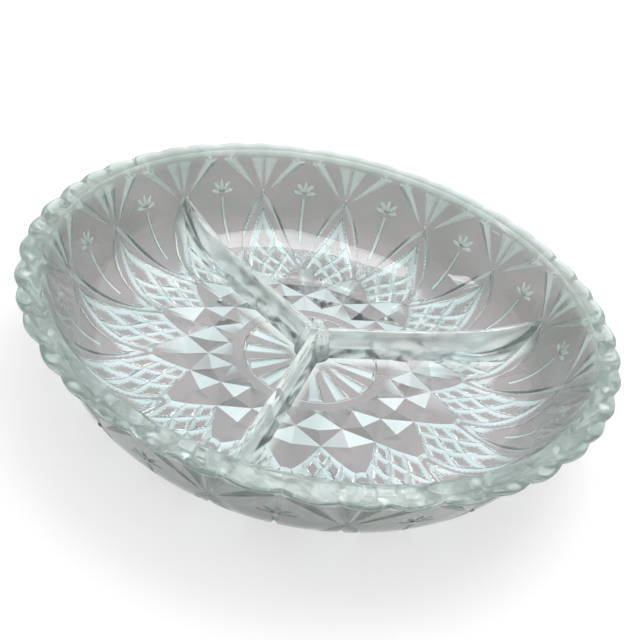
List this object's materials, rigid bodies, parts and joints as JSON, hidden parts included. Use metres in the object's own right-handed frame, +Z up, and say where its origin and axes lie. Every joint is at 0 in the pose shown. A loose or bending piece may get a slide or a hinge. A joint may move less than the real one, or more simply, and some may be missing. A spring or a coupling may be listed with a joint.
{
  "type": "divided relish dish",
  "caption": "Round pressed-glass relish dish with a scalloped rim, a cut-glass style pattern outside and three compartments divided by ribs that meet at a low hub.",
  "frame": {"origin": "centre of the flat base, on the surface that the dish stands on", "axes": "+Z up, out of the bowl; +X through the middle of a fan of the pattern and along the first divider"},
  "size_m": [0.2157, 0.216, 0.0428],
  "materials": {
    "pressed_glass": "fire-polished clear glass with a faint green tint where it is thick"
  },
  "bodies": {
    "root": {"rim": "pressed_glass", "fan_wall": "pressed_glass", "panel_wall": "pressed_glass", "star_floor": "pressed_glass", "base_ring": "pressed_glass", "rosette": "pressed_glass", "hub": "pressed_glass", "divider_right": "pressed_glass", "divider_rear": "pressed_glass", "divider_front": "pressed_glass"}
  },
  "joints": []
}
